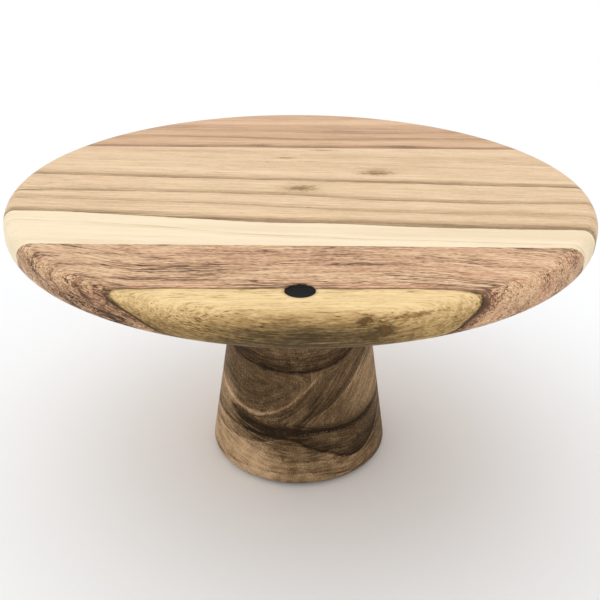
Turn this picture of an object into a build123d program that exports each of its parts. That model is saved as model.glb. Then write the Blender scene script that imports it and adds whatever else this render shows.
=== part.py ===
from build123d import *
import os

# Cake stand: a round plate of edge-glued planks on a turned, conical pedestal.
# The plate unscrews: a hanger bolt in the pedestal turns into an insert under the plate.
# Millimetres, +Z up. The origin is the middle of the footprint, and -Y is the front.

# ---------------------------------------------------------------- driving dimensions

overall_height = 160.0       # floor to the serving surface

plate_diameter = 300.0
plate_thickness = 15.0
rim_top_rounding = 6.5       # upper edge of the rim
rim_bottom_rounding = 5.0    # lower edge of the rim
centre_plank_width = 149.0   # the plank that carries the insert
centre_plank_shift = -8.5    # its middle, measured from the middle of the plate along Y

mark_diameter = 12.5         # burnt-in round mark on the front plank
mark_depth = 0.4
mark_setback = 22.5          # plate edge to the middle of the mark

pedestal_base_diameter = 103.0
pedestal_top_diameter = 60.0
pedestal_base_easing = 3.0   # rounding where the side meets the underside

pad_count = 4
pad_diameter = 18.0
pad_thickness = 1.5
pad_inset = 4.0              # flat underside's edge to the edge of a pad

insert_diameter = 12.0
insert_length = 11.0
flange_diameter = 16.0
flange_thickness = 1.5

bolt_diameter = 8.0          # both ends of the hanger bolt
bolt_wood_length = 40.0      # coarse thread, in the pedestal
bolt_point_length = 5.0      # its tapered tip, part of the coarse end
bolt_point_diameter = 3.0
bolt_chamfer = 0.8           # lead-in on the machine-thread end

# ---------------------------------------------------------------- fits and clearances

bolt_insert_clearance = 0.05   # radial, bolt in the insert's thread
bolt_end_gap = 1.0             # end of the bolt to the end of the insert
insert_bore_end_gap = 0.5      # end of the insert to the bottom of its bore
pilot_bore_end_gap = 2.0       # tip of the bolt to the bottom of the pilot bore

# ---------------------------------------------------------------- derived places

plate_radius = plate_diameter / 2
plate_underside = overall_height - plate_thickness
back_joint = centre_plank_shift + centre_plank_width / 2
front_joint = centre_plank_shift - centre_plank_width / 2
mark_place = plate_radius - mark_setback
pedestal_height = plate_underside - pad_thickness
pad_circle = pedestal_base_diameter / 2 - pedestal_base_easing - pad_inset - pad_diameter / 2
bolt_machine_length = insert_length - bolt_end_gap
insert_bore_depth = insert_length + insert_bore_end_gap
pilot_bore_depth = bolt_wood_length + pilot_bore_end_gap


def write(piece, name):
    """Labels a finished piece and writes it as its own STEP file."""
    piece.part.label = name
    export_step(piece.part, f"parts/{name}.step")


os.makedirs("parts", exist_ok=True)

# ---------------------------------------------------------------- plate: three planks

with BuildSketch(Plane.XZ) as plate_profile:
    with BuildLine():
        Polyline(
            (0, plate_underside),
            (plate_radius, plate_underside),
            (plate_radius, overall_height),
            (0, overall_height),
            close=True,
        )
    make_face()
    rim_corners = plate_profile.vertices().group_by(Axis.X)[-1].sort_by(Axis.Y)
    fillet(rim_corners[0], radius=rim_bottom_rounding)
    rim_corners = plate_profile.vertices().group_by(Axis.Y)[-1].sort_by(Axis.X)
    fillet(rim_corners[-1], radius=rim_top_rounding)

with BuildPart() as plank_back:
    revolve(plate_profile.sketch, axis=Axis.Z)
    split(bisect_by=Plane.XZ.offset(-back_joint), keep=Keep.BOTTOM)
write(plank_back, "plank_back")

with BuildPart() as plank_centre:
    revolve(plate_profile.sketch, axis=Axis.Z)
    split(bisect_by=Plane.XZ.offset(-back_joint), keep=Keep.TOP)
    split(bisect_by=Plane.XZ.offset(-front_joint), keep=Keep.BOTTOM)
    with BuildSketch(Plane.XY.offset(plate_underside)):
        Circle(insert_diameter / 2)
    extrude(amount=insert_bore_depth, mode=Mode.SUBTRACT)
    with BuildSketch(Plane.XY.offset(plate_underside)):
        Circle(flange_diameter / 2)
    extrude(amount=flange_thickness, mode=Mode.SUBTRACT)
write(plank_centre, "plank_centre")

with BuildPart() as plank_front:
    revolve(plate_profile.sketch, axis=Axis.Z)
    split(bisect_by=Plane.XZ.offset(-front_joint), keep=Keep.TOP)
    with BuildSketch(Plane.XY.offset(overall_height)):
        with Locations((0, -mark_place)):
            Circle(mark_diameter / 2)
    extrude(amount=-mark_depth, mode=Mode.SUBTRACT)
write(plank_front, "plank_front")

# ---------------------------------------------------------------- pedestal

with BuildPart() as pedestal:
    with BuildSketch(Plane.XZ):
        with BuildLine():
            Polyline(
                (0, pad_thickness),
                (pedestal_base_diameter / 2, pad_thickness),
                (pedestal_top_diameter / 2, plate_underside),
                (0, plate_underside),
                close=True,
            )
        make_face()
        fillet(vertices().sort_by(Axis.X)[-1], radius=pedestal_base_easing)
    revolve(axis=Axis.Z)
    with BuildSketch(Plane.XY.offset(plate_underside)):
        Circle(bolt_diameter / 2)
    extrude(amount=-pilot_bore_depth, mode=Mode.SUBTRACT)
write(pedestal, "pedestal")

# ---------------------------------------------------------------- fastening

with BuildPart() as threaded_insert:
    with BuildSketch(Plane.XY.offset(plate_underside)):
        Circle(insert_diameter / 2)
    extrude(amount=insert_length)
    with BuildSketch(Plane.XY.offset(plate_underside)):
        Circle(flange_diameter / 2)
    extrude(amount=flange_thickness)
    with BuildSketch(Plane.XY.offset(plate_underside)):
        Circle(bolt_diameter / 2 + bolt_insert_clearance)
    extrude(amount=insert_length, mode=Mode.SUBTRACT)
write(threaded_insert, "threaded_insert")

with BuildPart() as hanger_bolt:
    with BuildSketch(Plane.XZ):
        with BuildLine():
            Polyline(
                (0, plate_underside - bolt_wood_length),
                (bolt_point_diameter / 2, plate_underside - bolt_wood_length),
                (bolt_diameter / 2, plate_underside - bolt_wood_length + bolt_point_length),
                (bolt_diameter / 2, plate_underside + bolt_machine_length),
                (0, plate_underside + bolt_machine_length),
                close=True,
            )
        make_face()
    revolve(axis=Axis.Z)
    chamfer(edges().sort_by(Axis.Z)[-1], length=bolt_chamfer)
write(hanger_bolt, "hanger_bolt")

# ---------------------------------------------------------------- pads under the base

pad_step = 360 / pad_count
for number in range(pad_count):
    place = Vector(pad_circle, 0).rotate(Axis.Z, pad_step * (number + 0.5))
    with BuildPart() as felt_pad:
        with BuildSketch():
            with Locations(place):
                Circle(pad_diameter / 2)
        extrude(amount=pad_thickness)
    write(felt_pad, f"felt_pad_{number + 1}")
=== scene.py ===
import logging
import math
from dataclasses import dataclass, field
from enum import Enum

import bmesh
import bpy
from mathutils import Euler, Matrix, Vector


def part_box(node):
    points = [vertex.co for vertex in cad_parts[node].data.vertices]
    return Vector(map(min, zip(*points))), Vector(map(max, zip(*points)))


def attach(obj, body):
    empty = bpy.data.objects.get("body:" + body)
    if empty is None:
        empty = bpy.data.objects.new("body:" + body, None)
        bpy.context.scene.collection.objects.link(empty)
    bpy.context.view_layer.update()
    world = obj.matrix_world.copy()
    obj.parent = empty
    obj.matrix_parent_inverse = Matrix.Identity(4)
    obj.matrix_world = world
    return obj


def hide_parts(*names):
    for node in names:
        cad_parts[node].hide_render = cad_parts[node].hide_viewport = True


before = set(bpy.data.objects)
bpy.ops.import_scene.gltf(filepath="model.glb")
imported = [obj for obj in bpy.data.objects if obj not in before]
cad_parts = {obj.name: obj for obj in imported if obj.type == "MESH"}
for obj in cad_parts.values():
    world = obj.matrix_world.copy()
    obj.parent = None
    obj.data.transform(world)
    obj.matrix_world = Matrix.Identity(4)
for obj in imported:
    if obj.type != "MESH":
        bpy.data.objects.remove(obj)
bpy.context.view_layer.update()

# Looks of the cake stand: a plate of three glued planks on a turned pedestal.
# Lengths are millimetres, except in the studio and in calls to Blender, which are metres as the frame is.

LOG = logging.getLogger("cake_stand")
MM = 0.001
BODY = "root"
CREASE = 32.0    # degrees past which an edge stays sharp, where a piece doesn't say otherwise

Point = tuple[float, float]
Colour = tuple[float, float, float]
Tones = tuple[tuple[float, Colour], ...]


def linear(red: float, green: float, blue: float) -> Colour:
    """Turns a colour named on the 0 to 255 display scale into linear light.

    Args:
        red: red share, 0 to 255.
        green: green share, 0 to 255.
        blue: blue share, 0 to 255.

    Returns:
        The colour as three linear values from 0 to 1.
    """
    def channel(value: float) -> float:
        """Undoes the display curve of one channel."""
        share = value / 255
        return share / 12.92 if share <= 0.04045 else ((share + 0.055) / 1.055) ** 2.4

    return channel(red), channel(green), channel(blue)


def shades(*stops: tuple[float, float, float, float]) -> Tones:
    """Colour stops, each given as its place from 0 to 1 and its display colour."""
    return tuple((place, linear(*colour)) for place, *colour in stops)


# ------------------------------------------------------------------ node graphs


@dataclass(frozen=True)
class Value:
    """A node socket that takes part in Python sums; each operator adds its Math node."""

    graph: "NodeGraph"
    socket: bpy.types.NodeSocket

    def maths(self, operation: str, other: "Value | float" = 0.0, reflected: bool = False) -> "Value":
        """Adds one Math node.

        Args:
            operation: the node's operation.
            other: its second operand.
            reflected: whether the operands change places.

        Returns:
            The node's result.
        """
        first, second = (other, self) if reflected else (self, other)
        return self.graph.node("ShaderNodeMath", {"operation": operation}, {0: first, 1: second})

    def __add__(self, other: "Value | float") -> "Value":
        """self + other."""
        return self.maths("ADD", other)

    def __radd__(self, other: float) -> "Value":
        """other + self."""
        return self.maths("ADD", other, reflected=True)

    def __sub__(self, other: "Value | float") -> "Value":
        """self - other."""
        return self.maths("SUBTRACT", other)

    def __rsub__(self, other: float) -> "Value":
        """other - self."""
        return self.maths("SUBTRACT", other, reflected=True)

    def __mul__(self, other: "Value | float") -> "Value":
        """self * other."""
        return self.maths("MULTIPLY", other)

    def __rmul__(self, other: float) -> "Value":
        """other * self."""
        return self.maths("MULTIPLY", other, reflected=True)

    def __truediv__(self, other: "Value | float") -> "Value":
        """self / other."""
        return self.maths("DIVIDE", other)

    def __pow__(self, power: float) -> "Value":
        """self ** power."""
        return self.maths("POWER", power)

    def __abs__(self) -> "Value":
        """abs(self)."""
        return self.maths("ABSOLUTE")

    def sibling(self, output: int | str) -> "Value":
        """Another output of the node that this value comes from."""
        return Value(self.graph, self.graph.socket(self.socket.node.outputs, output))

    def smooth(self, low: float, high: float) -> "Value":
        """Rises smoothly from 0 at low to 1 at high; low may be the larger one."""
        limits = {"Value": self, "From Min": low, "From Max": high}
        return self.graph.node("ShaderNodeMapRange", {"interpolation_type": "SMOOTHSTEP"}, limits)


Place = tuple[Value, Value, Value]


class NodeGraph:
    """A node tree that is built with one method for every kind of node."""

    def __init__(self, tree: bpy.types.NodeTree) -> None:
        """Takes an empty tree."""
        self.tree = tree

    @staticmethod
    def socket(sockets: bpy.types.NodeInputs, key: int | str) -> bpy.types.NodeSocket:
        """Finds a socket by its place, or by its name among those in use.

        Args:
            sockets: a node's inputs or outputs.
            key: the place or the name.

        Returns:
            The socket.
        """
        if isinstance(key, int):
            return sockets[key]
        return next(s for s in sockets if s.name == key and s.enabled)

    def feed(self, socket: bpy.types.NodeSocket, value: object) -> None:
        """Links a Value to a socket, or sets a plain value on it.

        Args:
            socket: the node's input.
            value: what it gets.
        """
        if isinstance(value, Value):
            self.tree.links.new(value.socket, socket)
        else:
            socket.default_value = value

    def node(
        self,
        kind: str,
        settings: dict[str, object] | None = None,
        inputs: dict[int | str, object] | None = None,
        output: int | str | None = 0,
    ) -> Value | None:
        """Adds a node, sets it up, then fills its sockets.

        Args:
            kind: the node's type.
            settings: its properties; "stops" fills a colour ramp and "curve" a float curve.
            inputs: values or links for its sockets, by place or name.
            output: the wanted output, by place or name, or None for a node without one.

        Returns:
            The wanted output, if there is one.
        """
        made = self.tree.nodes.new(kind)
        for name, setting in (settings or {}).items():
            if name == "stops":
                self._set_stops(made.color_ramp, setting)
            elif name == "curve":
                self._set_curve(made.mapping, setting)
            else:
                setattr(made, name, setting)
        for key, value in (inputs or {}).items():
            self.feed(self.socket(made.inputs, key), value)
        return None if output is None else Value(self, self.socket(made.outputs, output))

    @staticmethod
    def _set_stops(ramp: bpy.types.ColorRamp, stops: Tones) -> None:
        """Gives a colour ramp its stops.

        Args:
            ramp: the new node's ramp.
            stops: the places and colours, in order.
        """
        ramp.interpolation = "B_SPLINE"
        for spare in list(ramp.elements)[1:]:
            ramp.elements.remove(spare)
        ramp.elements[0].position = stops[0][0]
        ramp.elements[0].color = (*stops[0][1], 1)
        for place, colour in stops[1:]:
            ramp.elements.new(place).color = (*colour, 1)

    @staticmethod
    def _set_curve(mapping: bpy.types.CurveMapping, points: list[Point]) -> None:
        """Gives a float curve its points.

        Args:
            mapping: the new node's mapping.
            points: the points in order, each from 0 to 1 both ways.
        """
        mapping.extend = "EXTRAPOLATED"
        line = mapping.curves[0]
        for spot, (along, height) in zip(line.points, (points[0], points[-1])):
            spot.location = (along, height)
        for along, height in points[1:-1]:
            line.points.new(along, height)
        mapping.update()


@dataclass(frozen=True)
class Noise:
    """A smooth noise: its grain's length along the three axes, its finer octaves and its seed."""

    size: tuple[float, float, float]
    octaves: float = 2.0
    seed: float = 0.0


class SurfaceGraph(NodeGraph):
    """A material's node tree, with the few pattern sources that the finishes share."""

    AXIS_SHIFT = 7.3     # keeps a noise's axes apart
    NOISE_GAIN = 3.2     # takes a noise to about -1 to 1
    OCTAVE_SHARE = 0.6   # how strong each finer octave is

    def __init__(self, name: str) -> None:
        """Makes an empty material.

        Args:
            name: the material's name.
        """
        self.material = bpy.data.materials.new(name)
        self.material.use_nodes = True
        self.material.node_tree.nodes.clear()
        super().__init__(self.material.node_tree)

    def place(self) -> Place:
        """Reads the point on the piece.

        Returns:
            Its three coordinates, in millimetres.
        """
        here = self.node("ShaderNodeTexCoord", output="Object")
        scaled = self.node("ShaderNodeVectorMath", {"operation": "SCALE"}, {0: here, "Scale": 1 / MM})
        x = self.node("ShaderNodeSeparateXYZ", inputs={0: scaled})
        return x, x.sibling(1), x.sibling(2)

    def noise(self, at: Place, noise: Noise) -> Value:
        """Smooth noise about zero, mostly between -1 and 1.

        Args:
            at: the three coordinates.
            noise: its grain, octaves and seed.

        Returns:
            The noise there.
        """
        spot = {
            axis: value / size + (noise.seed + self.AXIS_SHIFT * axis)
            for axis, (value, size) in enumerate(zip(at, noise.size))
        }
        raw = self.node(
            "ShaderNodeTexNoise", {"noise_dimensions": "3D"},
            {"Vector": self.node("ShaderNodeCombineXYZ", inputs=spot), "Scale": 1.0,
             "Detail": noise.octaves, "Roughness": self.OCTAVE_SHARE},
        )
        return (raw - 0.5) * self.NOISE_GAIN

    def blend(self, first: object, second: object, share: Value) -> Value:
        """Mixes two colours.

        Args:
            first: the colour at share 0.
            second: the colour at share 1.
            share: how much of the second.

        Returns:
            The mixed colour.
        """
        def as_colour(value: object) -> object:
            """Adds alpha to a plain colour."""
            return value if isinstance(value, Value) else (*value, 1.0)

        return self.node(
            "ShaderNodeMix",
            {"data_type": "RGBA", "clamp_factor": True},
            {"Factor": share, "A": as_colour(first), "B": as_colour(second)},
            output="Result",
        )

    def finish(self, settings: dict[str, object], height: Value, relief: float) -> bpy.types.Material:
        """Closes the material with its shader.

        Args:
            settings: values or links for the shader's sockets, by name.
            height: the fine relief, in relief units.
            relief: millimetres for one unit of height.

        Returns:
            The finished material.
        """
        bump = self.node(
            "ShaderNodeBump", inputs={"Strength": 1.0, "Distance": relief * MM, "Height": height})
        shader = self.node("ShaderNodeBsdfPrincipled", inputs={**settings, "Normal": bump})
        self.node("ShaderNodeOutputMaterial", inputs={"Surface": shader}, output=None)
        return self.material


# ------------------------------------------------------------------ wood


class Grain(Enum):
    """Which way the fibres of a piece of wood run."""

    ALONG_PLANK = "x"
    TOWARDS_FRONT = "y"


def oval(x: Value, height: Value, at: Point, half: Point) -> Value:
    """The squared distance from a spot, which is 1 on the oval with those half sizes.

    Args:
        x: the place across the piece.
        height: the place up it.
        at: the oval's middle.
        half: its half sizes.

    Returns:
        The squared distance.
    """
    across = (x - at[0]) / half[0]
    along = (height - at[1]) / half[1]
    return across * across + along * along


@dataclass(frozen=True)
class RingLine:
    """A dark growth-ring line: a surface in the wood, and the shade on one side of it.

    The course is given across the piece, from the left end to the right, as (x, height) pairs,
    where height is y on a plank and z on the pedestal. It leans and twists with the depth. The
    shade reaches that far from the line, to its far or upper side if positive, and begins over the
    edge's width. Pale flecks may break the line, and it may fade out between two places in x.
    """

    course: tuple[Point, ...]
    line: float = 0.3
    width: float = 0.7
    shade: float = 0.3
    reach: float = 8.0
    edge: float = 0.3
    lean: float = 0.0
    twist: float = 0.0
    flecks: float = 0.0
    fades: Point | None = None

    SPAN = 160.0       # courses are drawn from -SPAN to SPAN, both ways
    CORE = 0.15        # the fully dark share of the line's width
    FALL = 1.3         # how fast the shade falls off
    UNEVENNESS = 0.7   # how much noise the line and the shade take

    def gap(self, graph: SurfaceGraph, figure: "Figure") -> Value:
        """Millimetres from the line, positive on its far or upper side.

        Args:
            graph: the material's graph.
            figure: the wood's patterns, with its axes laid out.

        Returns:
            The distance.
        """
        span = self.SPAN
        points = [((x + span) / (2 * span), (height + span) / (2 * span)) for x, height in self.course]
        across = (figure.x + span) / (2 * span)
        curve = graph.node("ShaderNodeFloatCurve", {"curve": points}, {"Factor": 1.0, "Value": across})
        gap = figure.height - (curve * (2 * span) - span)
        if self.lean or self.twist:
            gap = gap - figure.depth * (self.lean + figure.x * self.twist)
        return gap

    def darkness(self, figure: "Figure", gap: Value) -> Value:
        """The tone that the line and its shade add.

        Args:
            figure: the wood's patterns.
            gap: the distance from the line.

        Returns:
            The added tone.
        """
        line = abs(gap).smooth(self.width, self.width * self.CORE) * self.line
        line = line * (1.0 + figure.ripple * self.UNEVENNESS)
        if self.flecks:
            line = line * (1.0 - figure.flecks * self.flecks)
        beyond = gap * math.copysign(1.0, self.reach)
        shade = beyond.smooth(abs(self.reach), 0.0) ** self.FALL * beyond.smooth(-self.edge, self.edge)
        dark = line + shade * self.shade * (1.0 + figure.streaks * self.UNEVENNESS)
        return dark * figure.x.smooth(self.fades[1], self.fades[0]) if self.fades else dark


@dataclass(frozen=True)
class Knot:
    """A small knot: where it lies, its half sizes, and how dark it is.

    It runs up and down through the wood, or towards the rim, where the second number of at is then
    the depth below the top face.
    """

    at: Point
    half: Point
    dark: float = 0.4
    to_rim: bool = False

    SWAY = 0.5       # how far ripple moves a knot that runs to the rim
    FRAYING = 0.6    # how ragged its outline is
    CORE = 0.15      # the fully dark share of its size
    HALO = 0.25      # how dark its halo is, as a share of the knot
    HALO_ENDS = (1.8, 0.8)    # how many half sizes out the halo begins and is full

    def darkness(self, figure: "Figure") -> Value:
        """The tone that the knot and the halo round it add.

        Args:
            figure: the wood's patterns.

        Returns:
            The added tone.
        """
        height = figure.depth + figure.ripple * self.SWAY if self.to_rim else figure.height
        far = oval(figure.x, height, self.at, self.half) ** 0.5 + figure.fray * self.FRAYING
        halo = far.smooth(*self.HALO_ENDS) * (self.dark * self.HALO)
        return far.smooth(1.0, self.CORE) * self.dark + halo


@dataclass(frozen=True)
class Patch:
    """A broad soft change of tone, darker where it is positive."""

    at: Point
    half: Point
    tone: float

    SWAY = 1.5       # how far ripple moves its edge

    def darkness(self, figure: "Figure") -> Value:
        """The tone that the patch adds."""
        x = figure.x + figure.ripple * self.SWAY
        return oval(x, figure.height, self.at, self.half).smooth(1.0, 0.0) * self.tone


@dataclass(frozen=True)
class Turn:
    """Where the streaks turn to follow another ring line: between two distances from a line."""

    follow: int
    past: int
    start: float
    end: float


@dataclass(frozen=True)
class Veins:
    """Thin dark lines that wander along the fibres, and come and go."""

    length: float = 70.0
    gap: float = 5.0
    width: float = 0.16
    dark: float = 0.15


@dataclass(frozen=True)
class Pores:
    """Open vessels that show as dark dashes along the fibres."""

    length: float = 7.0
    width: float = 0.45
    rarity: float = 0.9
    dark: float = 0.35
    patchy: float = 0.5

    EDGE = 0.28        # how softly a dash begins


@dataclass(frozen=True)
class Stain:
    """A round mark burnt into the top face, with a thin scorch round it."""

    at: Point
    radius: float
    char: Colour = linear(9, 7, 7)
    ash: Colour = linear(36, 29, 27)
    ashing: float = 0.5
    scorched: Colour = linear(120, 82, 50)
    scorch_width: float = 1.6
    scorching: float = 0.35
    raggedness: float = 0.12

    FADE = (2.0, 1.0)         # it fades out between these depths
    BORDER = (0.15, -0.25)    # and between these distances from its edge
    ASHY = (0.2, 1.0)         # how speckled the wood is where ash shows

    def burn(self, graph: SurfaceGraph, figure: "Figure", top: float, colour: Value) -> tuple[Value, Value]:
        """Burns the mark into the wood's colour.

        Args:
            graph: the material's graph.
            figure: the wood's patterns.
            top: the height of the piece's top face.
            colour: the unmarked colour.

        Returns:
            The marked colour, and where the wood is burnt.
        """
        gone, full = self.FADE
        outer, inner = self.BORDER
        shallow = figure.z.smooth(top - gone, top - full)
        reach = oval(figure.x, figure.y, self.at, (1.0, 1.0)) ** 0.5 + figure.speckle * self.raggedness
        scorch = reach.smooth(self.radius + self.scorch_width, self.radius) * shallow
        burnt = reach.smooth(self.radius + outer, self.radius + inner) * shallow
        char = graph.blend(self.char, self.ash, figure.speckle.smooth(*self.ASHY) * self.ashing)
        toasted = graph.blend(colour, self.scorched, scorch * self.scorching)
        return graph.blend(toasted, char, burnt), burnt


class Figure:
    """The patterns in one piece of wood, laid along its fibres and its ring lines.

    Drift, ripple, fray, mottle, speckle, streaks, bands and fibres are noises about zero. Flecks,
    veins, pores and blush are masks from 0 to 1, and so is the rim's mask, which grows down the rim
    below the top face and carries painted shade and darker streaks. A noise's seed only sets it apart.
    """

    DRIFT = Noise((75.0, 30.0, 30.0), seed=3.0)
    RIPPLE = Noise((11.0, 4.0, 4.0), seed=11.0)
    FRAY = Noise((2.2, 0.8, 0.8), 1.0, seed=5.0)
    MOTTLE = Noise((26.0, 11.0, 11.0), 3.0, seed=41.0)
    CLUMPS = Noise((60.0, 9.0, 9.0), 1.0, seed=61.0)
    SPECKLE_LENGTH = 2.4
    FIBRE_LENGTH = 12.0
    BAND_STRETCH = 4         # how many streaks long a band is
    RIPPLE_SWAY = 0.32       # how far ripple moves the ring lines
    FRAY_SWAY = 0.10         # how far fray does
    DEPTH_SWAY = 0.6         # how far ripple moves the edge of the rim's painted shade and streaks
    RIM_SHADE_AND_STREAK_HEIGHTS = (2.0, -9.0)  # the heights from the top face that the rim's painted shade and streaks grow between
    FLECKED = (0.25, 0.55)   # how speckled the wood is where flecks show
    VEIN_BREAKS = 0.3        # how much speckle breaks the veins
    VEINED = (-0.7, 0.7)     # how clumped they are where they show
    BLUSH_DRIFT = 0.5        # what drift and bands add to the blush
    BLUSH_BANDS = 0.6
    BLUSH_EVEN = 0.25        # and how much of it is even
    BLUSH_FULL = 1.2         # the sum at which it is full

    def __init__(self, graph: SurfaceGraph, wood: "WoodFinish", top: float) -> None:
        """Adds the patterns' nodes.

        Args:
            graph: the material's graph.
            wood: the finish that they are for.
            top: the height of the piece's top face, from which a plank's depth is measured.
        """
        self.x, self.y, self.z = graph.place()
        if wood.grain is Grain.ALONG_PLANK:
            fibre, height, side, self.depth = self.x, self.y, self.z, self.z - top
        else:
            fibre, height, side, self.depth = self.y, self.z, self.x, self.y
        straight = (fibre, height, side)
        drift, self.ripple, self.fray, self.mottle = (
            graph.noise(straight, noise) for noise in (self.DRIFT, self.RIPPLE, self.FRAY, self.MOTTLE))
        fine = wood.fineness
        self.speckle = graph.noise(straight, Noise((self.SPECKLE_LENGTH, fine, fine), 1.0, seed=43.0))
        self.flecks = self.speckle.smooth(*self.FLECKED)
        # Painted shade down the rim: a mask that grows below the top face, for the shade where the rim turns
        # away from the light, and partly for the wood's darker streaks low on the rim.
        self.rim_shade_and_streak_mask = (self.depth + self.ripple * self.DEPTH_SWAY).smooth(*self.RIM_SHADE_AND_STREAK_HEIGHTS)

        self.height = height + drift + self.ripple * self.RIPPLE_SWAY + self.fray * self.FRAY_SWAY
        self.gaps = [ring.gap(graph, self) for ring in wood.rings]
        flow = self.gaps[0]
        for turn in wood.turns:
            turned = self.gaps[turn.past].smooth(turn.start, turn.end)
            flow = flow + (self.gaps[turn.follow] - flow) * turned
        curved = (fibre, flow, side)
        length, width, band = wood.streak_length, wood.streak_width, wood.band_width
        veins, pores, broad = wood.veins, wood.pores, wood.ring_breadth
        clumps, self.streaks, self.bands, self.fibres, wander, dashes = (
            graph.noise(curved, noise) for noise in (
                self.CLUMPS,
                Noise((length, width, broad or width), 3.0, seed=21.0),
                Noise((length * self.BAND_STRETCH, band, band), seed=31.0),
                Noise((self.FIBRE_LENGTH, fine, fine), 1.0, seed=47.0),
                Noise((veins.length, veins.gap, broad or veins.gap), 1.5, seed=71.0),
                Noise((pores.length, pores.width, pores.width), 1.0, seed=51.0),
            ))
        present = (clumps + self.speckle * self.VEIN_BREAKS).smooth(*self.VEINED)
        self.veins = abs(wander).smooth(veins.width, 0.0) * present
        self.pores = (dashes + clumps * pores.patchy).smooth(pores.rarity, pores.rarity + pores.EDGE)
        blush = drift * self.BLUSH_DRIFT + self.bands * self.BLUSH_BANDS + self.BLUSH_EVEN
        self.blush = blush.smooth(0.0, self.BLUSH_FULL)


@dataclass(frozen=True)
class WoodFinish:
    """An oiled hardwood with its own figure, solid right through the piece.

    Tones run from the palest wood at 0 to the darkest at 1, and base is the plain wood's tone. The
    sapwood lies beyond the ring line whose number is sapwood_from, on its near or lower side. Down
    the rim, where it falls away from the top face, the colour is painted darker: partly painted shade
    where the rim turns away from the light, partly the wood's own darker streaks. Streaks are as broad
    across the ring lines as streak_width, and along them as ring_breadth where that is given.
    """

    name: str
    tones: Tones
    rings: tuple[RingLine, ...]
    base: float
    sapwood: Tones = ()
    sapwood_from: int = -1
    sapwood_grain: float = 0.5
    streak: float = 0.10
    streak_width: float = 1.3
    streak_length: float = 70.0
    ring_breadth: float = 0.0
    turns: tuple[Turn, ...] = ()
    bands: float = 0.10
    band_width: float = 9.0
    fibres: float = 0.05
    speckle: float = 0.04
    fineness: float = 0.9
    veins: Veins = field(default_factory=Veins)
    pores: Pores = field(default_factory=Pores)
    knots: tuple[Knot, ...] = ()
    knot_tint: Colour = linear(168, 124, 66)
    patches: tuple[Patch, ...] = ()
    # How much painted shade, with the wood's darker streaks, the rim takes in the heartwood and in the
    # sapwood.
    rim_shade_and_streak: float = 0.0
    sapwood_rim_shade_and_streak: float = 0.0
    blush: Colour = linear(222, 160, 130)
    blushing: float = 0.25
    grain: Grain = Grain.ALONG_PLANK
    roughness: float = 0.46
    specular: float = 0.2
    coat: float = 0.03
    stain: Stain | None = None

    SAPWOOD_EDGE = 0.35      # half the width of the change to sapwood
    MOTTLING = 0.04          # what mottle adds to the tone
    RIM_SHADE_AND_STREAK_MOTTLING = 1.6    # and how uneven it makes the rim's painted shade and streaks
    KNOT_TINTING = 0.5       # how much of its tint a knot takes
    PORE_ROUGHNESS = 0.18    # what each pattern adds to the roughness
    STREAK_ROUGHNESS = 0.03
    MOTTLE_ROUGHNESS = 0.02
    BURNT_ROUGHNESS = 0.2
    COAT_ROUGHNESS = 0.35
    GRAIN_HEIGHT = 0.25      # how high the grain stands, as a share of the pores' depth
    RELIEF = 0.08            # the pores' depth

    def _colour(self, graph: SurfaceGraph, figure: Figure) -> Value:
        """Mixes the wood's colour from its patterns.

        Args:
            graph: the material's graph.
            figure: the patterns.

        Returns:
            The colour.
        """
        knotty = sum(knot.darkness(figure) for knot in self.knots)
        tone = self.base + figure.streaks * self.streak + figure.bands * self.bands
        tone = tone + figure.mottle * self.MOTTLING
        tone = tone + sum(ring.darkness(figure, gap) for ring, gap in zip(self.rings, figure.gaps))
        tone = tone + sum(patch.darkness(figure) for patch in self.patches) + knotty
        fine = figure.speckle * self.speckle + figure.fibres * self.fibres
        holes = figure.pores * self.pores.dark
        # Painted shade down the rim, partly the wood's darker streaks there, made uneven by mottle.
        shadow = figure.rim_shade_and_streak_mask * (1.0 + figure.mottle * self.RIM_SHADE_AND_STREAK_MOTTLING) * self.rim_shade_and_streak
        dark = tone + fine + figure.veins * self.veins.dark + holes + shadow
        colour = graph.node("ShaderNodeValToRGB", {"stops": self.tones}, {0: dark})
        colour = graph.blend(colour, self.blush, figure.blush * self.blushing)
        if self.sapwood:
            # The sapwood takes the rim's painted shade and streaks with its own weight.
            dark = tone + (fine + holes) * self.sapwood_grain + figure.rim_shade_and_streak_mask * self.sapwood_rim_shade_and_streak
            pale = graph.node("ShaderNodeValToRGB", {"stops": self.sapwood}, {0: dark})
            within = figure.gaps[self.sapwood_from].smooth(self.SAPWOOD_EDGE, -self.SAPWOOD_EDGE)
            colour = graph.blend(colour, pale, within)
        if self.knots:
            colour = graph.blend(colour, self.knot_tint, knotty.smooth(0.0, 0.5) * self.KNOT_TINTING)
        return colour

    def build(self, top: float) -> bpy.types.Material:
        """Builds the material.

        Args:
            top: the height of the piece's top face.

        Returns:
            The finished material.
        """
        graph = SurfaceGraph(self.name)
        figure = Figure(graph, self, top)
        colour = self._colour(graph, figure)
        rough = self.roughness + figure.pores * self.PORE_ROUGHNESS
        rough = rough + figure.streaks * self.STREAK_ROUGHNESS + figure.mottle * self.MOTTLE_ROUGHNESS
        if self.stain:
            colour, burnt = self.stain.burn(graph, figure, top, colour)
            rough = rough + burnt * self.BURNT_ROUGHNESS
        height = (figure.streaks + figure.speckle) * self.GRAIN_HEIGHT - figure.pores
        settings = {
            "Base Color": colour, "Roughness": rough, "Specular IOR Level": self.specular,
            "Coat Weight": self.coat, "Coat Roughness": self.COAT_ROUGHNESS,
        }
        return graph.finish(settings, height, self.RELIEF)


# ------------------------------------------------------------------ other finishes


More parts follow.
